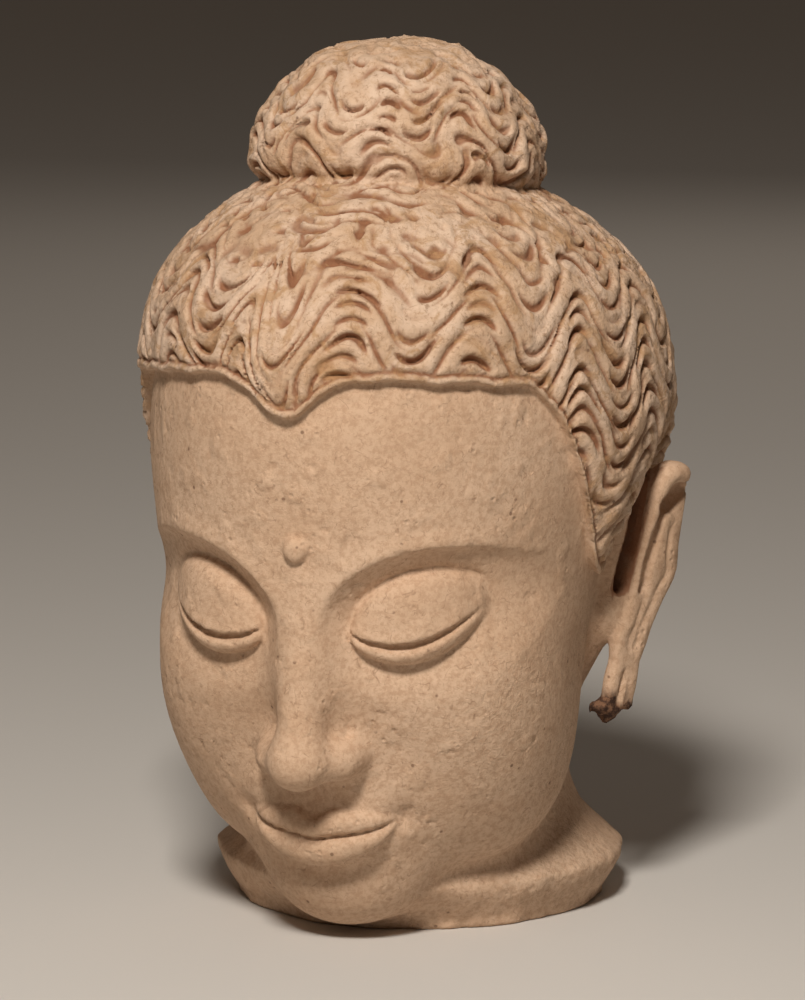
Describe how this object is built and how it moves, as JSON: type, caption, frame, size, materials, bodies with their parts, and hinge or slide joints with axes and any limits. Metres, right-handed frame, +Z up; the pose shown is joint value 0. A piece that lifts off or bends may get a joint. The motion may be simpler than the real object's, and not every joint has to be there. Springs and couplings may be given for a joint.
{
  "type": "buddha head sculpture",
  "caption": "Carved stucco head of a serene figure with downcast eyes, wavy hair and a bun, cut flat below the neck to stand as a bust.",
  "frame": {"origin": "middle of the flat underside of the neck", "axes": "+Z up through the crown, -Y towards the face, +X towards the figure's left ear"},
  "size_m": [0.1763, 0.1935, 0.2752],
  "materials": {
    "stucco": "matte, grainy lime stucco, warm tan"
  },
  "bodies": {
    "root": {"stucco_head": "stucco"}
  },
  "joints": []
}
